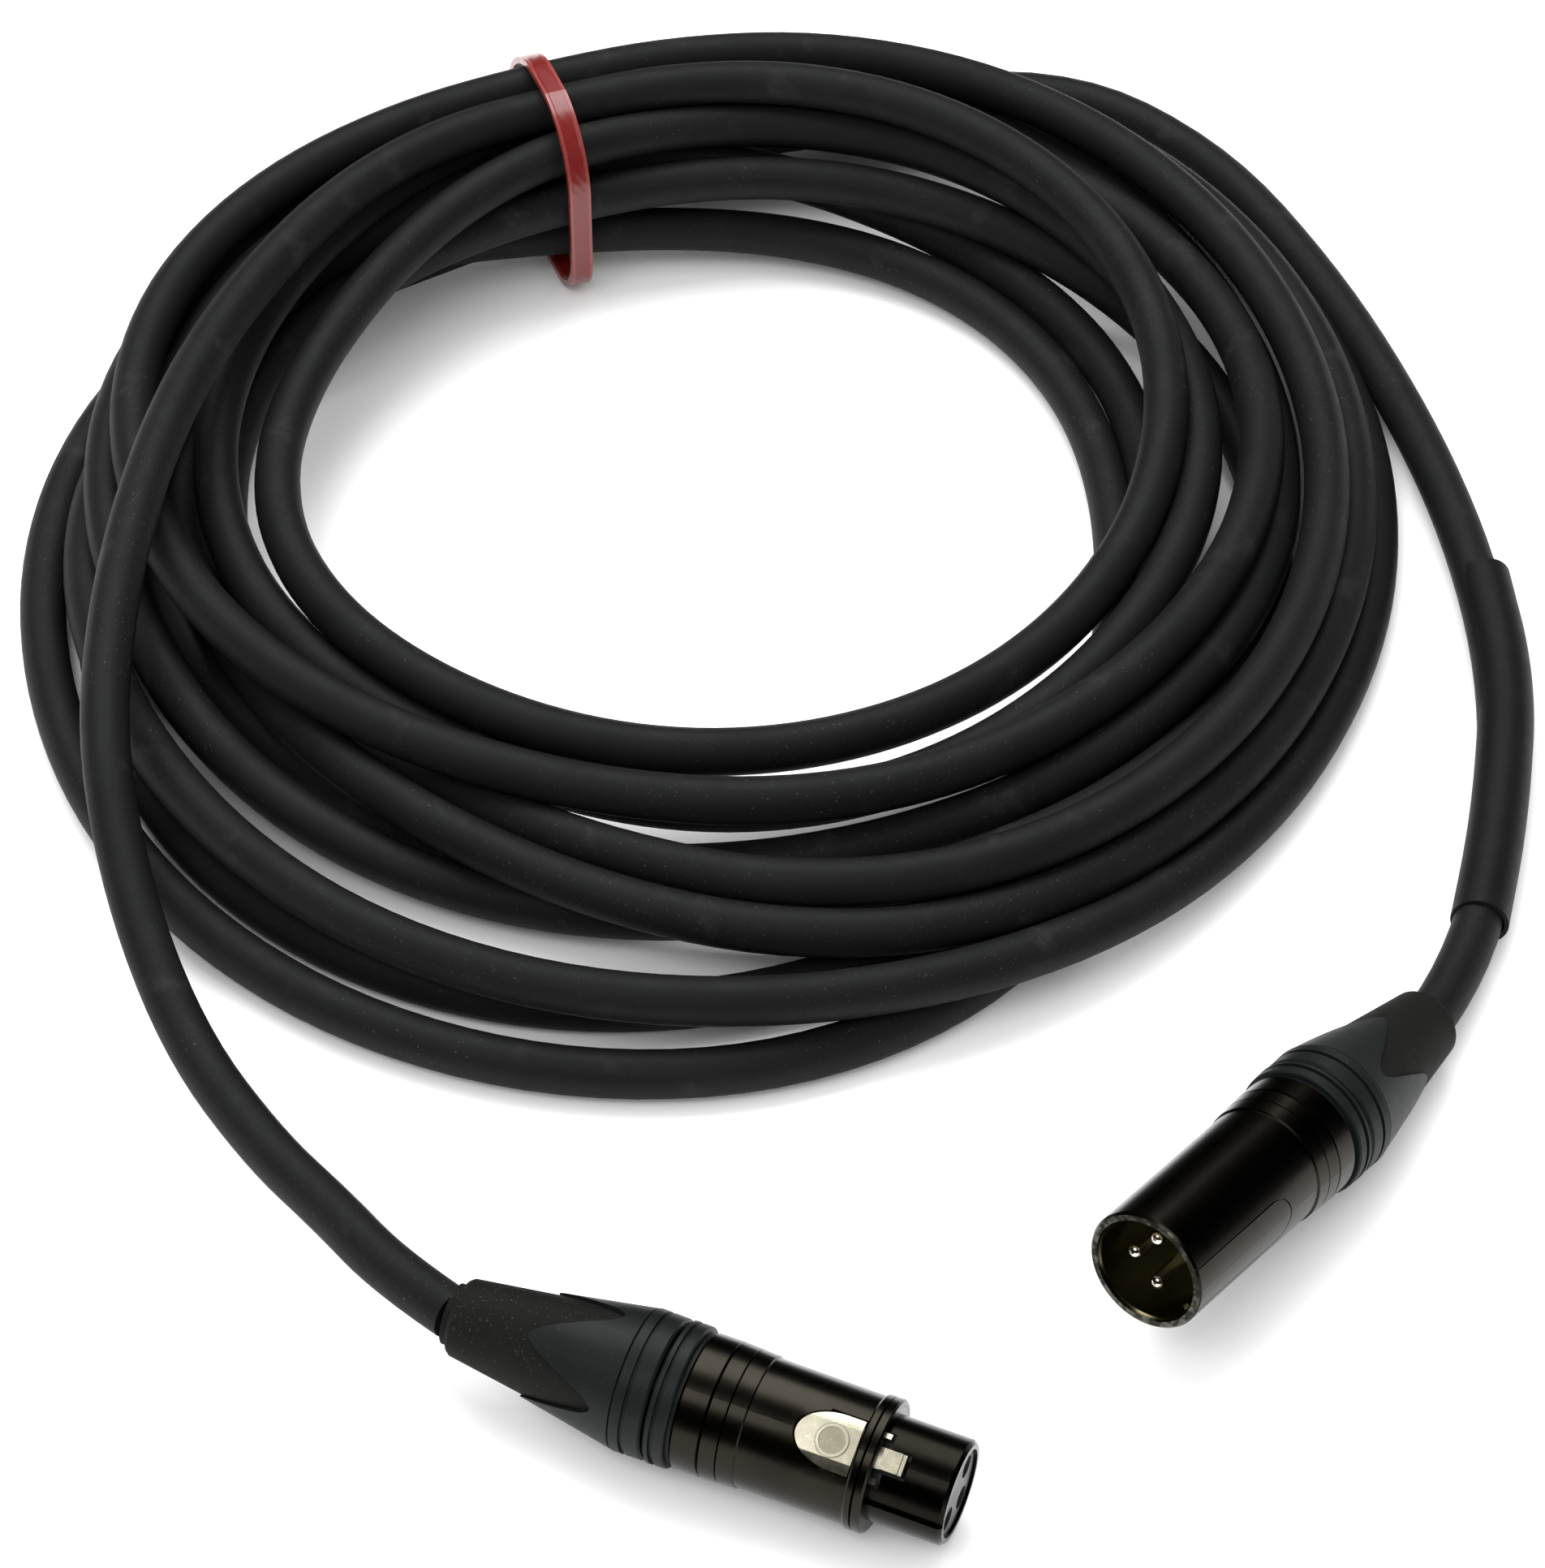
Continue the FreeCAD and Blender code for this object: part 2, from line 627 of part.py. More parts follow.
def cable_tie():
    """Strap pulled tight round the bundle, with its head and cut tail on the outside."""
    side = math.radians(TIE_ANGLE)
    outward = V(math.cos(side), math.sin(side), 0)
    along = V(-outward.y, outward.x, 0)
    inner, outer, base, top = COIL_STATIONS[0]
    inside = Part.Wire(section_edges(COIL_STATIONS[0], TIE_ANGLE))
    outside = Part.Wire(section_edges(COIL_STATIONS[0], TIE_ANGLE, TIE_THICKNESS))
    shift = along * (-TIE_WIDTH / 2)
    strap = Part.Face(outside).extrude(along * TIE_WIDTH).cut(Part.Face(inside).extrude(along * TIE_WIDTH))
    strap.translate(shift)
    seat = COIL_CENTRE + FRAME_SHIFT + outward * (outer + TIE_THICKNESS) + Z_AXIS * (base + 6)
    turn = FreeCAD.Rotation(Z_AXIS, TIE_ANGLE)
    head = Part.makeBox(4.6, 6.4, 5.6, V(-0.4, -3.2, -2.8))
    head = head.makeFillet(0.8, head.Edges)
    tail = Part.makeBox(1.2, TIE_WIDTH, 9.0, V(2.2, -TIE_WIDTH / 2, 2.0))
    top_piece = head.fuse(tail)
    top_piece.Placement = FreeCAD.Placement(seat, turn)
    return strap.fuse(top_piece).removeSplitter()


# ---- assembly --------------------------------------------------------------------------
def female_pieces():
    pieces = {
        "female_boot": boot(),
        "female_nut": nut(),
        "female_code_ring": code_ring(),
        "female_chuck": chuck(),
        "female_cable_end": cable_end(),
        "female_shell": female_shell(),
        "female_front_ring": female_front_ring(),
        "female_latch": latch(),
        "female_latch_spring": latch_spring(),
        "female_insert": female_insert(),
    }
    for number, angle in PIN_ANGLES.items():
        pieces["female_contact_" + number] = contact(angle)
        pieces["female_wire_" + number] = wire(angle, CONTACT_X)
    place = (FEMALE_REAR, FEMALE_HEADING, FEMALE_TILT, FEMALE_ROLL)
    return {name: laid(shape, *place) for name, shape in pieces.items()}


def male_pieces():
    pieces = {
        "male_boot": boot(),
        "male_nut": nut(),
        "male_code_ring": code_ring(),
        "male_chuck": chuck(),
        "male_cable_end": cable_end(),
        "male_shell": male_shell(),
        "male_insert": male_insert(),
    }
    for number, angle in PIN_ANGLES.items():
        pieces["male_pin_" + number] = pin(angle)
        pieces["male_wire_" + number] = wire(angle, PIN_X)
    place = (MALE_REAR, MALE_HEADING, MALE_TILT, MALE_ROLL)
    return {name: laid(shape, *place) for name, shape in pieces.items()}


def cable_pieces():
    pieces = {"cable_coil": cable_coil(), "cable_tie": cable_tie()}
    routes = {
        "cable_tail_female": shifted([FEMALE_REAR] + FEMALE_ROUTE),
        "cable_tail_male": shifted([MALE_REAR] + MALE_ROUTE),
    }
    for name, points in routes.items():
        radii = corner_radii(points)
        print(name, "radii", [round(r) for r in radii], "runs",
              [round((b - a).Length) for a, b in zip(points, points[1:])])
        pieces[name] = tube(points, radii, CABLE_R)
        if name == "cable_tail_male":
            pieces["heat_shrink"] = heat_shrink(points, radii)
    return pieces


def main():
    os.makedirs("parts", exist_ok=True)
    pieces = {}
    pieces.update(female_pieces())
    pieces.update(male_pieces())
    pieces.update(cable_pieces())
    box = FreeCAD.BoundBox()
    for name, shape in sorted(pieces.items()):
        shape.exportStep("parts/" + name + ".step")
        box.add(shape.optimalBoundingBox())
        summary = (name, len(shape.Solids), shape.isValid(), shape.Volume, shape.optimalBoundingBox().ZMin)
        print("%-22s solids %d valid %s volume %.1f lowest %.2f" % summary)
    print("box", box, "centre", box.Center)


main()
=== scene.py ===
import json
import math

import bpy
import numpy as np
from mathutils import Matrix, Vector


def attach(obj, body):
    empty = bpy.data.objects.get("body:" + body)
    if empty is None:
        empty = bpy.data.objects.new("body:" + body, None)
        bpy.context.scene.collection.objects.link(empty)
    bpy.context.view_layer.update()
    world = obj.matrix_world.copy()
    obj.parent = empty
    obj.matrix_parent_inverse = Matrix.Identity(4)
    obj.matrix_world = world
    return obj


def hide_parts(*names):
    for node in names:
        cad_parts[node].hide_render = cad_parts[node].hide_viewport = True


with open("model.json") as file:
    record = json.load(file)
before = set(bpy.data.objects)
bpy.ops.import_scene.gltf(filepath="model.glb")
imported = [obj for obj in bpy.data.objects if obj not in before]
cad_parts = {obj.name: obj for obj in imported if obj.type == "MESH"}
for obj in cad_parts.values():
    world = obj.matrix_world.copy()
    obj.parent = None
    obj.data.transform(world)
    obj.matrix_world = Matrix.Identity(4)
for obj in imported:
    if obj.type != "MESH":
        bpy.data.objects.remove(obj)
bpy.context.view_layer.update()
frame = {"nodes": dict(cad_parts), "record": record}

# A coiled microphone cable with a female and a male XLR plug, tied with a strap.
# Metres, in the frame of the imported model. Named sizes are in millimetres and go through MM.
MM = 0.001

# ---- where things lie, as in the part's source ------------------------------------------
SHIFT = Vector((16.11, -25.03, 0.0))
FEMALE = {"rear": Vector((37.8, -128.2, 12.72)), "heading": 14.4, "tilt": 2.2, "roll": 29.5}
MALE = {"rear": Vector((118.4, 14.7, 5.79)), "heading": -90.8, "tilt": -9.6, "roll": 280.0}
COIL_CENTRE = Vector((-46.0, 43.0, 0.0))
TIE_ANGLE = 147.0

CABLE_R = 4.0
FEMALE_ROUTE = [
    (25, -127.4, 12.5),
    (10, -123, 11.5),
    (-7.2, -118.9, 10.2),
    (-30.3, -110.8, 11.5),
    (-52.4, -98.3, 18.5),
    (-73.4, -81.3, 27.5),
    (-90.2, -60.3, 32),
    (-106, -36, 33.5),
    (-119, -11, 33.5),
    (-128, 15, 33.5),
]
MALE_ROUTE = [
    (116.6, 31, 4.8),
    (104, 60.5, 5.0),
    (87, 90, 5.0),
    (64, 117, 5.0),
    (37, 141, 5.0),
    (4, 165, 4.4),
    (-34, 185, 4.3),
    (-70, 187, 4.4),
    (-98, 158, 5),
    (-113.5, 132, 5.5),
    (-121, 99, 6),
]

# Each turn's radius and height at eight places, clockwise from the tie.
TURNS = [
    ((88, 33), (91, 34), (84, 28), (75, 20), (75, 19), (75, 19), (78, 23), (71, 25)),
    ((80.3, 29.3), (89, 27), (89, 20), (82, 15), (80, 10), (78, 10), (84, 14), (91, 19)),
    ((94, 25), (101, 22), (101, 19), (92, 19), (89, 19), (85, 19), (95, 19), (107, 26)),
    ((96, 33), (116, 25), (109, 20), (108, 19), (113, 19), (83, 9), (85, 7), (88, 13)),
    ((77.2, 19.5), (81, 21), (96, 10), (100, 6), (100, 8), (104, 8), (104, 11), (108, 14)),
    ((102, 25), (116, 15), (102, 13), (98, 13), (92, 11), (91, 7), (97, 11), (104, 11)),
    ((94.5, 17), (124, 16), (116, 13), (112, 13), (120, 14), (97, 15), (90, 8), (100, 8)),
    ((86.5, 16), (133, 5), (122, 6), (116, 5), (124, 10), (121, 10), (109, 11), (105, 8)),
    ((86, 23.5), (84, 13), (78, 12), (77, 5), (127, 4), (134, 4), (119, 4), (111, 4)),
    ((81, 9.5), (81.5, 5), (73, 5), (80, 4), (110, 4), (124, 5), (110, 4), (102, 4)),
]
TIE_LEAD_IN = (88, 37)  # the female tail, one place before the tie
TIE_LAST = (88.5, 5.5)  # the last turn, back at the tie
PLACES = 8
POINTS_PER_PLACE = 3  # control points of the cord between two places

# How the strands settle. A rate is the share of a difference that one step makes good.
SETTLING_STEPS = 500
SINKING_SHARE = 0.8  # of the steps, after which the strands no longer sink
SINK = 0.05  # in one step
STRAND_GAP = 0.15  # air left between two strands
FLOOR_GAP = 0.02
SIDEWAYS_RATE = 0.05
HEIGHT_RATE = 0.004
UNBEND_RATE = 0.03
LIFT = 1.3  # strands that meet part upwards and downwards this much more than sideways
SAMPLES_PER_SPAN = 4
NEIGHBOURS = 24  # samples along the cord that are too near to count as another strand
STEPS_PER_SEARCH = 20  # between two searches for strands that lie close
LEAST_DISTANCE = 0.5  # stands in for any smaller one between two strands' middles, as a divisor
EYE = (352.4, -467.6, 565.5)  # where the coil is seen from: a strand sinks along this line of sight


# ---- the cord's line ----------------------------------------------------------------------
def place_value(values, position):
    """Value at a fractional place along a list, by a cubic through its neighbours."""
    i = int(math.floor(position))
    f = position - i
    last = len(values) - 1
    a, b, c, d = (np.array(values[min(max(i + k, 0), last)], float) for k in (-1, 0, 1, 2))
    return b + 0.5 * f * (c - a + f * (2 * a - 5 * b + 4 * c - d + f * (3 * (b - c) + d - a)))


def turn_points():
    """Control points of the turns before they settle, and how freely each may move."""
    values = [TIE_LEAD_IN] + [v for turn in TURNS for v in turn] + [TIE_LAST]
    points = []
    freedom = []
    for j in range(1, (len(values) - 1) * POINTS_PER_PLACE):
        place = j / POINTS_PER_PLACE
        radius, height = place_value(values, place)
        angle = math.radians(TIE_ANGLE - 360.0 / PLACES * (place - 1))
        x = COIL_CENTRE.x + radius * math.cos(angle)
        y = COIL_CENTRE.y + radius * math.sin(angle)
        points.append((x, y, height))
        from_tie = abs((place - 1 + PLACES / 2) % PLACES - PLACES / 2)
        freedom.append(min(1.0, from_tie))
    return points, freedom


def spline_samples(count, per_span):
    """Matrix that takes control points to points on the quadratic spline."""
    rows = []
    for i in range(1, count - 1):
        for k in range(per_span):
            f = (k + 0.5) / per_span
            row = np.zeros(count)
            row[i - 1] = 0.5 * (1 - f) ** 2
            row[i] = 0.5 + f - f * f
            row[i + 1] = 0.5 * f * f
            rows.append(row)
    return np.array(rows)


def close_pairs(points, reach, apart):
    """Index pairs of points nearer than reach, leaving out neighbours along the cord."""
    gap = points[:, None, :] - points[None, :, :]
    near = np.einsum("ijk,ijk->ij", gap, gap) < reach * reach
    first, second = np.nonzero(np.triu(near, apart))
    return first, second


def settled(points, freedom):
    """The cord's control points after its strands have pushed each other apart and sunk."""
    control = np.array(points, float)
    aim = control.copy()
    free = np.array(freedom)[:, None]
    sampler = spline_samples(len(control), SAMPLES_PER_SPAN)
    share = sampler.sum(axis=0)[:, None]
    share[share == 0] = 1.0
    sight = np.array(EYE) - aim
    sight /= sight[:, 2:]  # for each point, the way along its line of sight that rises by one
    apart = 2 * CABLE_R + STRAND_GAP
    for step in range(SETTLING_STEPS):
        samples = sampler @ control
        if step % STEPS_PER_SEARCH == 0:
            first, second = close_pairs(samples, 2.0 * apart, NEIGHBOURS)
        gap = samples[first] - samples[second]
        distance = np.maximum(np.linalg.norm(gap, axis=1), LEAST_DISTANCE)
        push = 0.5 * np.maximum(apart - distance, 0.0) / distance
        move = np.zeros_like(samples)
        np.add.at(move, first, gap * push[:, None])
        np.add.at(move, second, -gap * push[:, None])
        move[:, 2] *= LIFT
        move[:, 2] += np.maximum(CABLE_R + FLOOR_GAP - samples[:, 2], 0.0)
        shortfall = aim - control
        sink = SINK if step < SETTLING_STEPS * SINKING_SHARE else 0.0
        height = HEIGHT_RATE * shortfall[:, 2:] - sink
        sideways = shortfall - sight * shortfall[:, 2:]
        control += free * ((sampler.T @ move) / share + SIDEWAYS_RATE * sideways + sight * height)
        control[:, 2] = np.maximum(control[:, 2], CABLE_R)
        bend = np.zeros_like(control)
        bend[2:-2] = control[:-4] - 4 * control[1:-3] + 6 * control[2:-2] - 4 * control[3:-1] + control[4:]
        control -= free * UNBEND_RATE * bend
    return control


def cord_points():
    """Control points of the whole cord, from the female boot to the male boot."""
    turns, freedom = turn_points()
    female = [tuple(FEMALE["rear"])] + FEMALE_ROUTE
    male = list(reversed(MALE_ROUTE)) + [tuple(MALE["rear"])]
    points = female + turns + male
    freedom = [0.0] * len(female) + freedom + [0.0] * len(male)
    return [(Vector(p) + SHIFT) * MM for p in settled(points, freedom)]


def cord(points):
    data = bpy.data.curves.new("cable", "CURVE")
    data.dimensions = "3D"
    spline = data.splines.new("NURBS")
    spline.points.add(len(points) - 1)
    for point, place in zip(spline.points, points):
        point.co = (*place, 1.0)
        point.radius = CABLE_R * MM
    spline.order_u = 3
    spline.use_endpoint_u = True
    spline.resolution_u = 6
    data.bevel_depth = 1.0
    data.bevel_resolution = 6
    data.use_fill_caps = True
    cable = bpy.data.objects.new("cable", data)
    bpy.context.collection.objects.link(cable)
    return cable


# ---- stage ---------------------------------------------------------------------------------
CAMERA_AT = Vector((368.47, -492.63, 565.5)) * MM
LOOKS_AT = SHIFT * MM
LENS = 111.8
FLOOR_HALF = 4.0
FLOOR_Z = -0.0002  # just under the part, so that no face lies in the floor's own


def camera():
    data = bpy.data.cameras.new("camera")
    data.lens = LENS
    data.sensor_width = 36.0
    data.clip_start = 0.01
    data.clip_end = 50.0
    eye = bpy.data.objects.new("camera", data)
    bpy.context.collection.objects.link(eye)
    eye.location = CAMERA_AT
    eye.rotation_euler = (LOOKS_AT - CAMERA_AT).to_track_quat("-Z", "Y").to_euler()
    bpy.context.scene.camera = eye


def floor():
    mesh = bpy.data.meshes.new("floor")
    sides = ((-1, -1), (1, -1), (1, 1), (-1, 1))
    corners = [(FLOOR_HALF * x, FLOOR_HALF * y, FLOOR_Z) for x, y in sides]
    mesh.from_pydata(corners, [], [(0, 1, 2, 3)])
    piece = bpy.data.objects.new("floor", mesh)
    bpy.context.collection.objects.link(piece)
    material = bpy.data.materials.new("floor")
    material.use_nodes = True
    shader = material.node_tree.nodes["Principled BSDF"]
    shader.inputs["Base Color"].default_value = (0.9, 0.9, 0.9, 1)
    shader.inputs["Roughness"].default_value = 0.9
    shader.inputs["Specular IOR Level"].default_value = 0.1
    piece.data.materials.append(material)


def area_light(name, place, size, watts):
    """A white rectangle of light that faces the origin."""
    data = bpy.data.lights.new(name, "AREA")
    data.shape = "RECTANGLE"
    data.size, data.size_y = size
    data.energy = watts
    light = bpy.data.objects.new(name, data)
    bpy.context.collection.objects.link(light)
    light.location = place
    light.rotation_euler = (-Vector(place)).to_track_quat("-Z", "Y").to_euler()


def lights():
    world = bpy.data.worlds.new("world")
    world.use_nodes = True
    background = world.node_tree.nodes["Background"]
    background.inputs["Color"].default_value = (1, 1, 1, 1)
    background.inputs["Strength"].default_value = 1.25
    world.cycles_visibility.glossy = False
    bpy.context.scene.world = world
    area_light("top", place=(-0.45, 0.35, 1.1), size=(1.2, 0.9), watts=17)
    area_light("front", place=(0.12, -0.90, 1.25), size=(0.9, 0.5), watts=5)
    bpy.context.scene.view_settings.view_transform = "Standard"


# ---- materials ------------------------------------------------------------------------------
FEMALE_LENGTH = 80.0
MALE_LENGTH = 81.0
SOCKET_R = 8.15
BORE_PAINTED_LIGHT_FADE = (SOCKET_R + 0.25, SOCKET_R + 0.1)  # painted light and shade of the bore come in between these radii
RIM_FADE = (7.2, 7.6)  # wear of the mouth's edge comes in between these radii
GRIP_X = 61.7
GRIP_R = 2.4
GRIP_INSIDE_FADE = (GRIP_R - 0.30, GRIP_R - 0.45)
GROOVE_INNER_FADE = (GRIP_R - 0.05, GRIP_R + 0.05)
GROOVE_OUTER_FADE = (GRIP_R + 0.35, GRIP_R + 0.1)
LATCH_PAINTED_SHADE_X = (57.5, 65.0)  # painted shade comes in on the latch between these places along the plug
TIE_SHEEN_FADE = (1.15, 1.55)  # painted sheen on the strap's edges comes in between these distances from its middle


class Look:
    """A procedural material, with short calls for the nodes that the finishes share."""

    def __init__(self, name, metallic=0.0):
        self.material = bpy.data.materials.new(name)
        self.material.use_nodes = True
        self.nodes = self.material.node_tree.nodes
        self.links = self.material.node_tree.links
        self.shader = self.nodes["Principled BSDF"]
        self.shader.inputs["Metallic"].default_value = metallic
        self.place = self.nodes.new("ShaderNodeTexCoord").outputs["Object"]

    def wire(self, source, socket):
        self.links.new(source, socket)

    def feed(self, socket, value):
        """Give a socket a number, a colour or another node's output."""
        if isinstance(value, bpy.types.NodeSocket):
            self.wire(value, socket)
        elif isinstance(value, tuple) and socket.type == "RGBA":
            socket.default_value = (*value, 1.0)
        else:
            socket.default_value = value

    def noise(self, size, detail=3.0, stretch=1.0, plug=None):
        """Noise with features about size millimetres across, stretched along the plug if there is one."""
        node = self.nodes.new("ShaderNodeTexNoise")
        node.inputs["Scale"].default_value = 1.0 / (size * MM)
        node.inputs["Detail"].default_value = detail
        place = self.place if plug is None else self.turned(plug, stretch)
        self.wire(place, node.inputs["Vector"])
        return node.outputs["Fac"]

    def wave(self, direction, scale, distortion=0.0):
        """Bands that go from 0 to 1 and back; straight where distortion is 0."""
        node = self.nodes.new("ShaderNodeTexWave")
        node.bands_direction = direction
        node.inputs["Scale"].default_value = scale
        node.inputs["Distortion"].default_value = distortion
        self.wire(self.place, node.inputs["Vector"])
        return node.outputs["Fac"]

    def turned(self, plug, stretch=1.0):
        """The plug's own coordinates: x along its axis, divided by stretch."""
        mapping = self.nodes.new("ShaderNodeMapping")
        mapping.vector_type = "TEXTURE"
        mapping.inputs["Location"].default_value = (plug["rear"] + SHIFT) * MM
        mapping.inputs["Rotation"].default_value = plug_rotation(plug).to_euler()
        mapping.inputs["Scale"].default_value = (stretch, 1.0, 1.0)
        self.wire(self.place, mapping.inputs["Vector"])
        return mapping.outputs["Vector"]

    def axis_x(self, plug):
        """How far along the plug a point lies, in metres."""
        split = self.nodes.new("ShaderNodeSeparateXYZ")
        self.wire(self.turned(plug), split.inputs[0])
        return split.outputs[0]

    def axis_distance(self, plug):
        """How far from the plug's axis a point lies, in metres."""
        return self.length(self.turned(plug), (0.0, 1.0, 1.0))

    def vectors(self, operation, a, b=(0.0, 0.0, 0.0)):
        """One vector node, whose second input is a constant."""
        node = self.nodes.new("ShaderNodeVectorMath")
        node.operation = operation
        self.wire(a, node.inputs[0])
        node.inputs[1].default_value = b
        return node

    def length(self, vector, parts):
        """Length of a vector, of which only the parts with a 1 count."""
        flat = self.vectors("MULTIPLY", vector, parts).outputs["Vector"]
        return self.vectors("LENGTH", flat).outputs["Value"]

    def fade(self, value, start, end):
        """0 below start, 1 above end, smooth between them; start may be the larger."""
        node = self.nodes.new("ShaderNodeMapRange")
        node.interpolation_type = "SMOOTHSTEP"
        self.wire(value, node.inputs["Value"])
        node.inputs["From Min"].default_value = start
        node.inputs["From Max"].default_value = end
        return node.outputs["Result"]

    def between(self, value, low, high):
        """Straight change from low to high as value goes from 0 to 1."""
        node = self.nodes.new("ShaderNodeMapRange")
        self.wire(value, node.inputs["Value"])
        node.inputs["To Min"].default_value = low
        node.inputs["To Max"].default_value = high
        return node.outputs["Result"]

    def math(self, operation, a, b=0.0):
        node = self.nodes.new("ShaderNodeMath")
        node.operation = operation
        self.feed(node.inputs[0], a)
        self.feed(node.inputs[1], b)
        return node.outputs[0]

    def mix(self, factor, a, b):
        """Colour a where factor is 0 and b where it is 1."""
        node = self.nodes.new("ShaderNodeMix")
        node.data_type = "RGBA"
        self.feed(node.inputs[0], factor)
        self.feed(node.inputs[6], a)
        self.feed(node.inputs[7], b)
        return node.outputs[2]

    def bump(self, *layers):
        """Bumps one on another; each layer is a height output and its depth in millimetres."""
        normal = None
        for height, depth in layers:
            node = self.nodes.new("ShaderNodeBump")
            node.inputs["Distance"].default_value = depth * MM
            self.wire(height, node.inputs["Height"])
            if normal is not None:
                self.wire(normal, node.inputs["Normal"])
            normal = node.outputs["Normal"]
        self.wire(normal, self.shader.inputs["Normal"])

    def colour(self, value):
        self.feed(self.shader.inputs["Base Color"], value)

    def roughness(self, factor, low, high):
        self.wire(self.between(factor, low, high), self.shader.inputs["Roughness"])

    def set(self, **sockets):
        for name, value in sockets.items():
            self.feed(self.shader.inputs[name.replace("_", " ")], value)


def plug_rotation(plug):
    """The rotation that lays a plug, built along +X, on the floor."""
    heading = Matrix.Rotation(math.radians(plug["heading"]), 3, "Z")
    tilt = Matrix.Rotation(math.radians(plug["tilt"]), 3, "Y")
    roll = Matrix.Rotation(math.radians(plug["roll"]), 3, "X")
    return heading @ tilt @ roll


def in_metres(span):
    return [value * MM for value in span]


def dust(look, size, amount):
    """Sparse specks: 1 on a speck, 0 elsewhere; more of them in some places than in others."""
    specks = look.fade(look.noise(size, 1.0), 0.70 - amount, 0.78 - amount)
    patches = look.fade(look.noise(28.0, 2.0), 0.42, 0.62)
    return look.math("MULTIPLY", specks, patches)


def cable_jacket():
    look = Look("cable_jacket")
    tone = look.mix(look.noise(14.0, 3.0), (0.0050, 0.0056, 0.0053), (0.0088, 0.0096, 0.0092))
    scuffs = look.math("MULTIPLY", look.fade(look.noise(9.0, 4.0), 0.60, 0.75), look.noise(0.8, 2.0))
    scuffed = look.mix(scuffs, tone, (0.020, 0.020, 0.019))
    look.colour(look.mix(dust(look, 0.45, 0.0), scuffed, (0.045, 0.045, 0.043)))
    look.roughness(look.noise(5.0, 4.0), 0.50, 0.68)
    look.bump((look.noise(6.0, 2.0), 0.05), (look.noise(0.35, 2.0), 0.02))
    look.set(Specular_IOR_Level=0.135, Specular_Tint=(0.95, 1.0, 0.93))
    return look.material


def sleeve_rubber():
    look = Look("sleeve_rubber")
    look.colour(look.mix(look.noise(8.0, 3.0), (0.0040, 0.0043, 0.0043), (0.0066, 0.0071, 0.0070)))
    look.roughness(look.noise(2.5, 3.0), 0.48, 0.62)
    look.bump((look.noise(7.0, 2.0), 0.12), (look.noise(0.5, 2.0), 0.015))
    look.set(Specular_IOR_Level=0.13)
    return look.material


def boot_rubber():
    look = Look("boot_rubber")
    tone = look.mix(look.noise(6.0, 4.0), (0.0040, 0.0041, 0.0030), (0.0070, 0.0071, 0.0055))
    look.colour(look.mix(dust(look, 0.4, 0.03), tone, (0.035, 0.035, 0.030)))
    look.roughness(look.noise(3.0, 3.0), 0.62, 0.82)
    look.bump((look.noise(0.30, 3.0), 0.03), (look.noise(4.0, 2.0), 0.04))
    look.set(Specular_IOR_Level=0.14)
    return look.material


def slate_plastic(name):
    look = Look(name)
    tone = look.mix(look.noise(7.0, 3.0), (0.0056, 0.0076, 0.0074), (0.0088, 0.0112, 0.0106))
    look.colour(look.mix(dust(look, 0.35, 0.0), tone, (0.030, 0.033, 0.033)))
    look.roughness(look.noise(2.0, 3.0), 0.36, 0.50)
    look.bump((look.noise(0.28, 2.0), 0.012), (look.noise(5.0, 1.0), 0.02))
    look.set(Specular_IOR_Level=0.13)
    return look.material


def shell_metal(name, plug, length, rim, worn_colour, bore_painted_light):
    """Black chrome, brushed round; the last rim millimetres of the mouth's outside are rubbed bright, and
    inside the bore a given colour of painted light and shade takes the metal's place.
    """
    look = Look(name, metallic=1.0)
    tone = look.mix(look.noise(10.0, 3.0), (0.0150, 0.0135, 0.0105), (0.0260, 0.0235, 0.0185))
    near_end = look.fade(look.axis_x(plug), (length - rim) * MM, (length - 0.3 * rim) * MM)
    outside = look.fade(look.axis_distance(plug), *in_metres(RIM_FADE))
    worn = look.math("MULTIPLY", near_end, outside)
    worn = look.math("MULTIPLY", worn, look.fade(look.noise(1.1, 4.0), 0.42, 0.62))
    scratches = look.fade(look.noise(0.5, 3.0, stretch=9.0, plug=plug), 0.70, 0.76)
    scratched = look.mix(look.math("MULTIPLY", scratches, 0.15), tone, (0.06, 0.055, 0.045))
    inside = look.fade(look.axis_distance(plug), *in_metres(BORE_PAINTED_LIGHT_FADE))
    coated = look.mix(worn, scratched, worn_colour)
    # inside the bore the colour is painted light and shade, not the metal's own
    look.colour(look.mix(inside, coated, bore_painted_light))
    look.roughness(look.noise(3.0, 4.0), 0.22, 0.29)
    brushing = look.noise(0.5, 2.0, stretch=0.35, plug=plug)
    look.bump((brushing, 0.008), (look.noise(0.8, 2.0), 0.005))
    return look.material


def insert_plastic(name, dark, light):
    look = Look(name)
    look.colour(look.mix(look.noise(2.5, 3.0), dark, light))
    look.roughness(look.noise(1.5, 3.0), 0.30, 0.48)
    look.bump((look.noise(0.4, 2.0), 0.01))
    return look.material


def bright_metal(name, dark, light, smooth, rough, grain):
    look = Look(name, metallic=1.0)
    look.colour(look.mix(look.noise(1.6, 4.0), dark, light))
    look.roughness(look.noise(0.9, 3.0), smooth, rough)
    look.bump((look.noise(0.22, 3.0), grain), (look.noise(3.0, 2.0), grain))
    return look.material


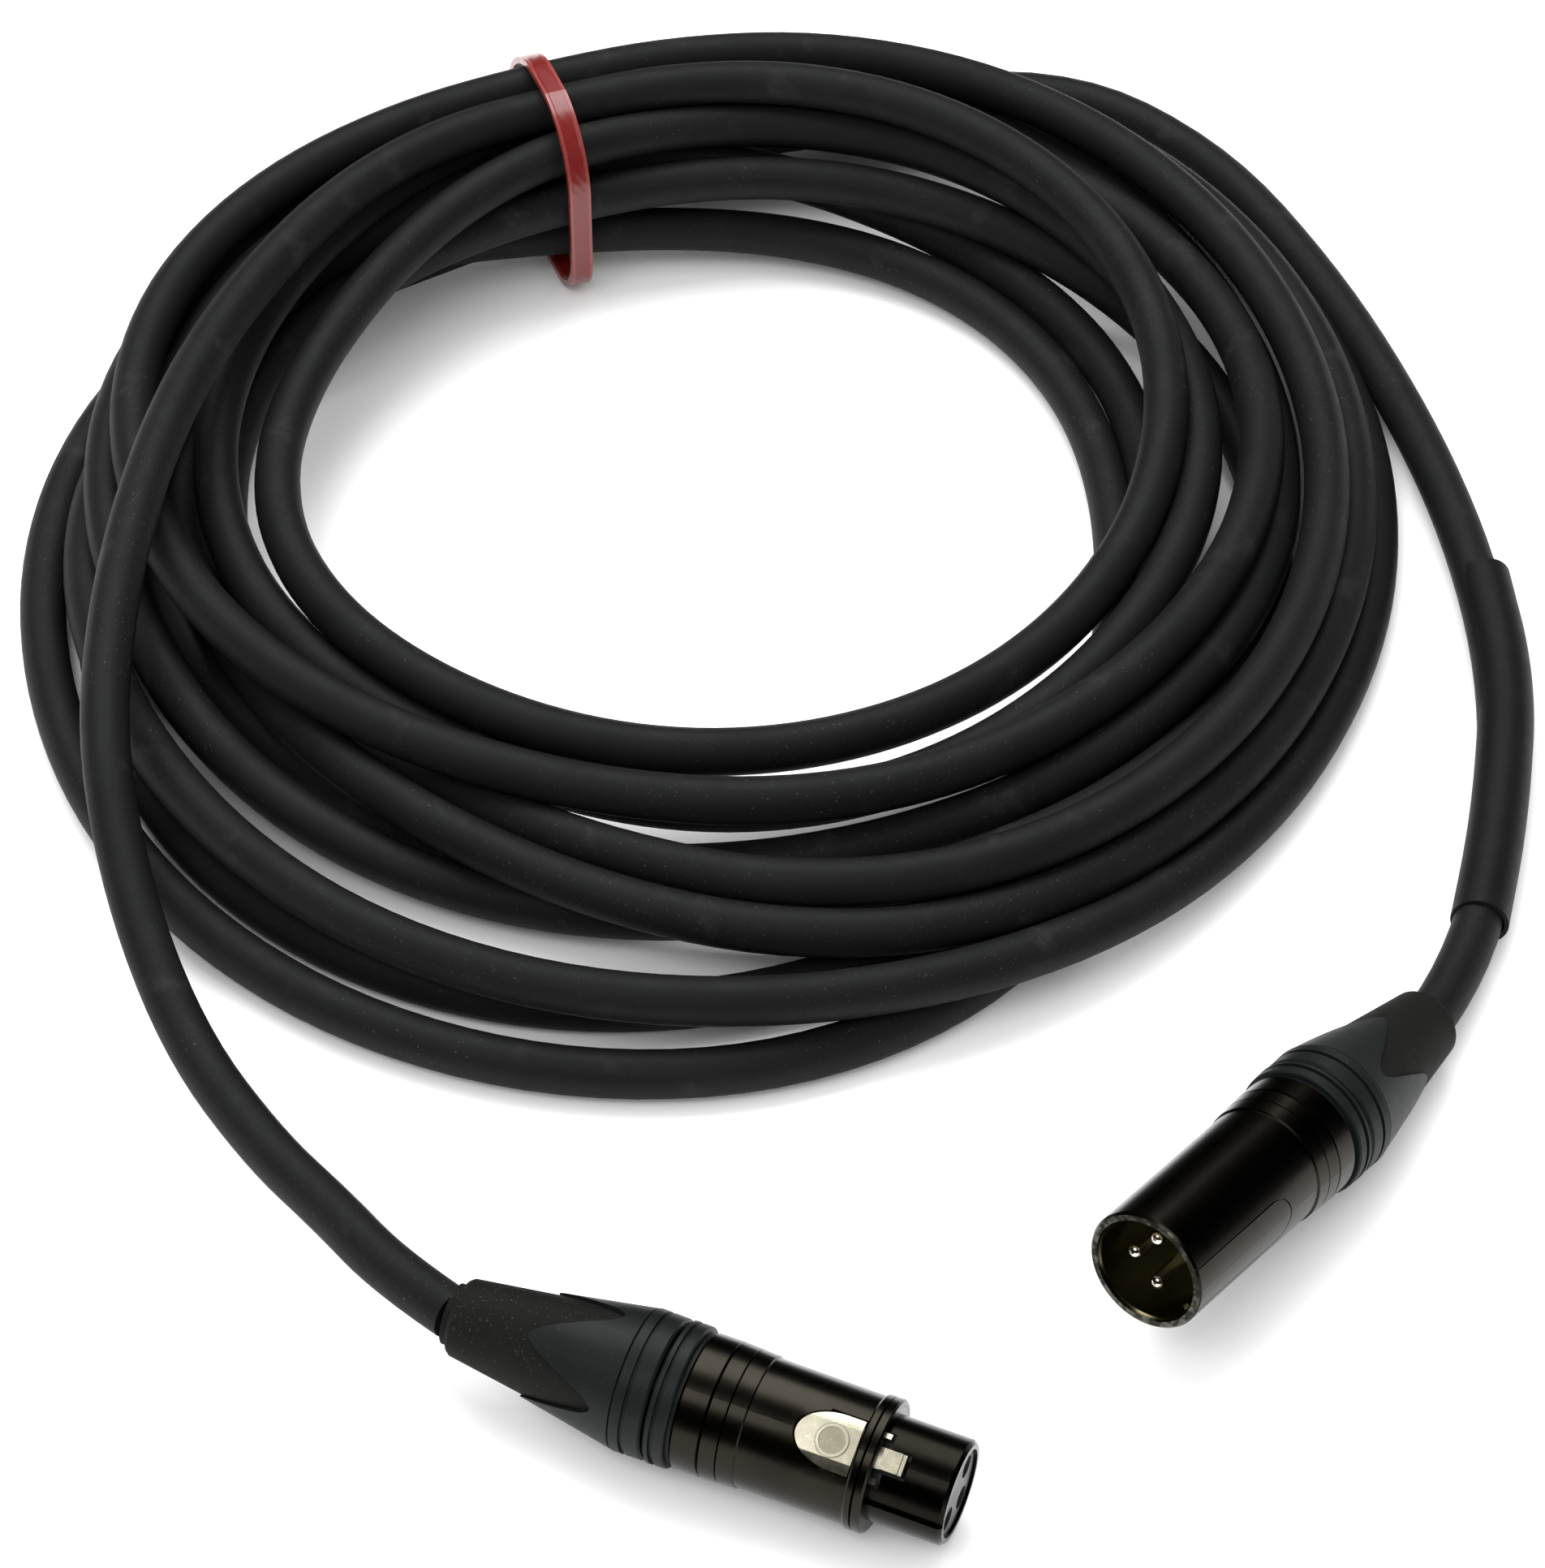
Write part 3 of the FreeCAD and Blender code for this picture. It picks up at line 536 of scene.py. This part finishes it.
def latch_metal():
    """Satin nickel with a cast grain; painted shade darkens it inside the grip ring, in the groove round
    it and towards the front.
    """
    look = Look("latch_metal", metallic=1.0)
    offset = look.vectors("SUBTRACT", look.turned(FEMALE), (GRIP_X * MM, 0.0, 0.0)).outputs["Vector"]
    from_grip = look.length(offset, (1.0, 1.0, 0.0))
    bright = look.mix(look.noise(1.6, 4.0), (0.40, 0.375, 0.28), (0.62, 0.59, 0.47))
    # colour of the painted shade on the latch
    painted_shade_colour = look.mix(look.noise(0.15, 3.0), (0.22, 0.205, 0.145), (0.30, 0.280, 0.205))
    forward = look.fade(look.axis_x(FEMALE), *in_metres(LATCH_PAINTED_SHADE_X))
    in_ring = look.fade(from_grip, *in_metres(GRIP_INSIDE_FADE))
    outer_side = look.fade(from_grip, *in_metres(GROOVE_OUTER_FADE))
    inner_side = look.fade(from_grip, *in_metres(GROOVE_INNER_FADE))
    groove = look.math("MULTIPLY", outer_side, inner_side)
    painted_front_shade = look.math("MULTIPLY", forward, 0.55)
    # painted shade: darker inside the grip ring's recess, in its groove and towards the front of the latch
    painted_latch_shade = look.math("MAXIMUM", painted_front_shade, look.math("MAXIMUM", in_ring, groove))
    look.colour(look.mix(painted_latch_shade, bright, painted_shade_colour))
    look.roughness(look.noise(0.9, 3.0), 0.20, 0.38)
    look.bump((look.noise(0.15, 3.0), 0.02), (look.noise(4.0, 1.0), 0.04))
    return look.material


def nylon(name, dark, light):
    look = Look(name)
    look.colour(look.mix(look.noise(2.2, 3.0), dark, light))
    look.roughness(look.noise(1.2, 3.0), 0.35, 0.55)
    look.bump((look.noise(0.3, 2.0), 0.012))
    return look.material


def tie_plastic():
    """Red strap: a painted sheen along its two edges, with the fine cross ribs of a cable tie."""
    look = Look("tie_plastic")
    side = math.radians(TIE_ANGLE)
    along = (-math.sin(side), math.cos(side), 0.0)
    offset = look.vectors("SUBTRACT", look.place, (COIL_CENTRE + SHIFT) * MM).outputs["Vector"]
    from_middle = look.math("ABSOLUTE", look.vectors("DOT_PRODUCT", offset, along).outputs["Value"])
    painted_sheen_edge = look.fade(from_middle, *in_metres(TIE_SHEEN_FADE))
    tone = look.mix(look.noise(4.0, 3.0), (0.115, 0.0038, 0.0032), (0.155, 0.0060, 0.0050))
    # painted sheen: paler red along the strap's edges, where light glances off them
    look.colour(look.mix(painted_sheen_edge, tone, (0.200, 0.0260, 0.0220)))
    look.roughness(look.noise(2.0, 3.0), 0.22, 0.38)
    ribs = look.wave("DIAGONAL", 250.0)
    look.bump((painted_sheen_edge, 0.15), (ribs, 0.05), (look.noise(0.4, 2.0), 0.01))
    look.set(Coat_Weight=0.3, Coat_Roughness=0.15)
    return look.material


def braid():
    """Tinned wire: two crossed sets of fine strands."""
    look = Look("wire_shield", metallic=1.0)
    look.colour(look.mix(look.noise(0.8, 3.0), (0.42, 0.40, 0.34), (0.66, 0.63, 0.55)))
    look.roughness(look.noise(0.7, 3.0), 0.28, 0.45)
    look.bump(*[(look.wave(direction, 900.0, 0.6), 0.06) for direction in ("X", "DIAGONAL")])
    return look.material


def finishes():
    """One finish for each material slot of the record."""
    worn = (0.30, 0.29, 0.25)
    in_shade = (0.010, 0.009, 0.007)
    steel = ((0.42, 0.42, 0.41), (0.62, 0.62, 0.60))
    silver = ((0.74, 0.70, 0.58), (0.90, 0.87, 0.76))
    return {
        "boot_rubber": boot_rubber(),
        "nut_plastic": slate_plastic("nut_plastic"),
        "ring_plastic": slate_plastic("ring_plastic"),
        "chuck_plastic": nylon("chuck_plastic", (0.58, 0.57, 0.52), (0.72, 0.71, 0.66)),
        "cable_jacket": cable_jacket(),
        "shell_metal": shell_metal("shell_metal", FEMALE, FEMALE_LENGTH, 0.55, worn, in_shade),
        "insert_plastic": insert_plastic("insert_plastic", (0.012, 0.012, 0.013), (0.026, 0.026, 0.028)),
        "wire_shield": braid(),
        "wire_hot": nylon("wire_hot", (0.36, 0.012, 0.012), (0.50, 0.025, 0.022)),
        "wire_cold": nylon("wire_cold", (0.66, 0.66, 0.63), (0.80, 0.80, 0.77)),
        "latch_metal": latch_metal(),
        "spring_steel": bright_metal("spring_steel", *steel, 0.22, 0.40, 0.010),
        "contact_metal": bright_metal("contact_metal", *silver, 0.12, 0.26, 0.008),
        "sleeve_rubber": sleeve_rubber(),
        "tie_plastic": tie_plastic(),
    }


def plug_finishes_with_painted_light():
    """Pieces whose finish depends on the plug that they are in, with painted light in the male: a lit
    inside of its socket and a lit copy of the insert plastic.
    """
    worn = (0.09, 0.09, 0.075)
    # painted light: the lit inside of the male's socket
    lit = (0.17, 0.15, 0.08)
    return {
        "male_shell": shell_metal("male_shell_metal", MALE, MALE_LENGTH, 0.22, worn, lit),
        # painted light: the male insert is a lit copy of the insert plastic, far paler than the female's
        "male_insert": insert_plastic("male_insert_painted_light", (0.15, 0.135, 0.070), (0.22, 0.200, 0.11)),
    }


def paint_nodes(materials, own):
    slots = {p["node"]: p["material_slot"] for p in frame["record"]["subparts"]}
    for node, piece in frame["nodes"].items():
        piece.data.materials.clear()
        piece.data.materials.append(own.get(node, materials[slots[node]]))


def main():
    camera()
    cable = cord(cord_points())
    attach(cable, "cable_and_plugs")
    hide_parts("cable_coil", "cable_tail_female", "cable_tail_male")
    floor()
    lights()
    materials = finishes()
    paint_nodes(materials, plug_finishes_with_painted_light())
    cable.data.materials.append(materials["cable_jacket"])


main()
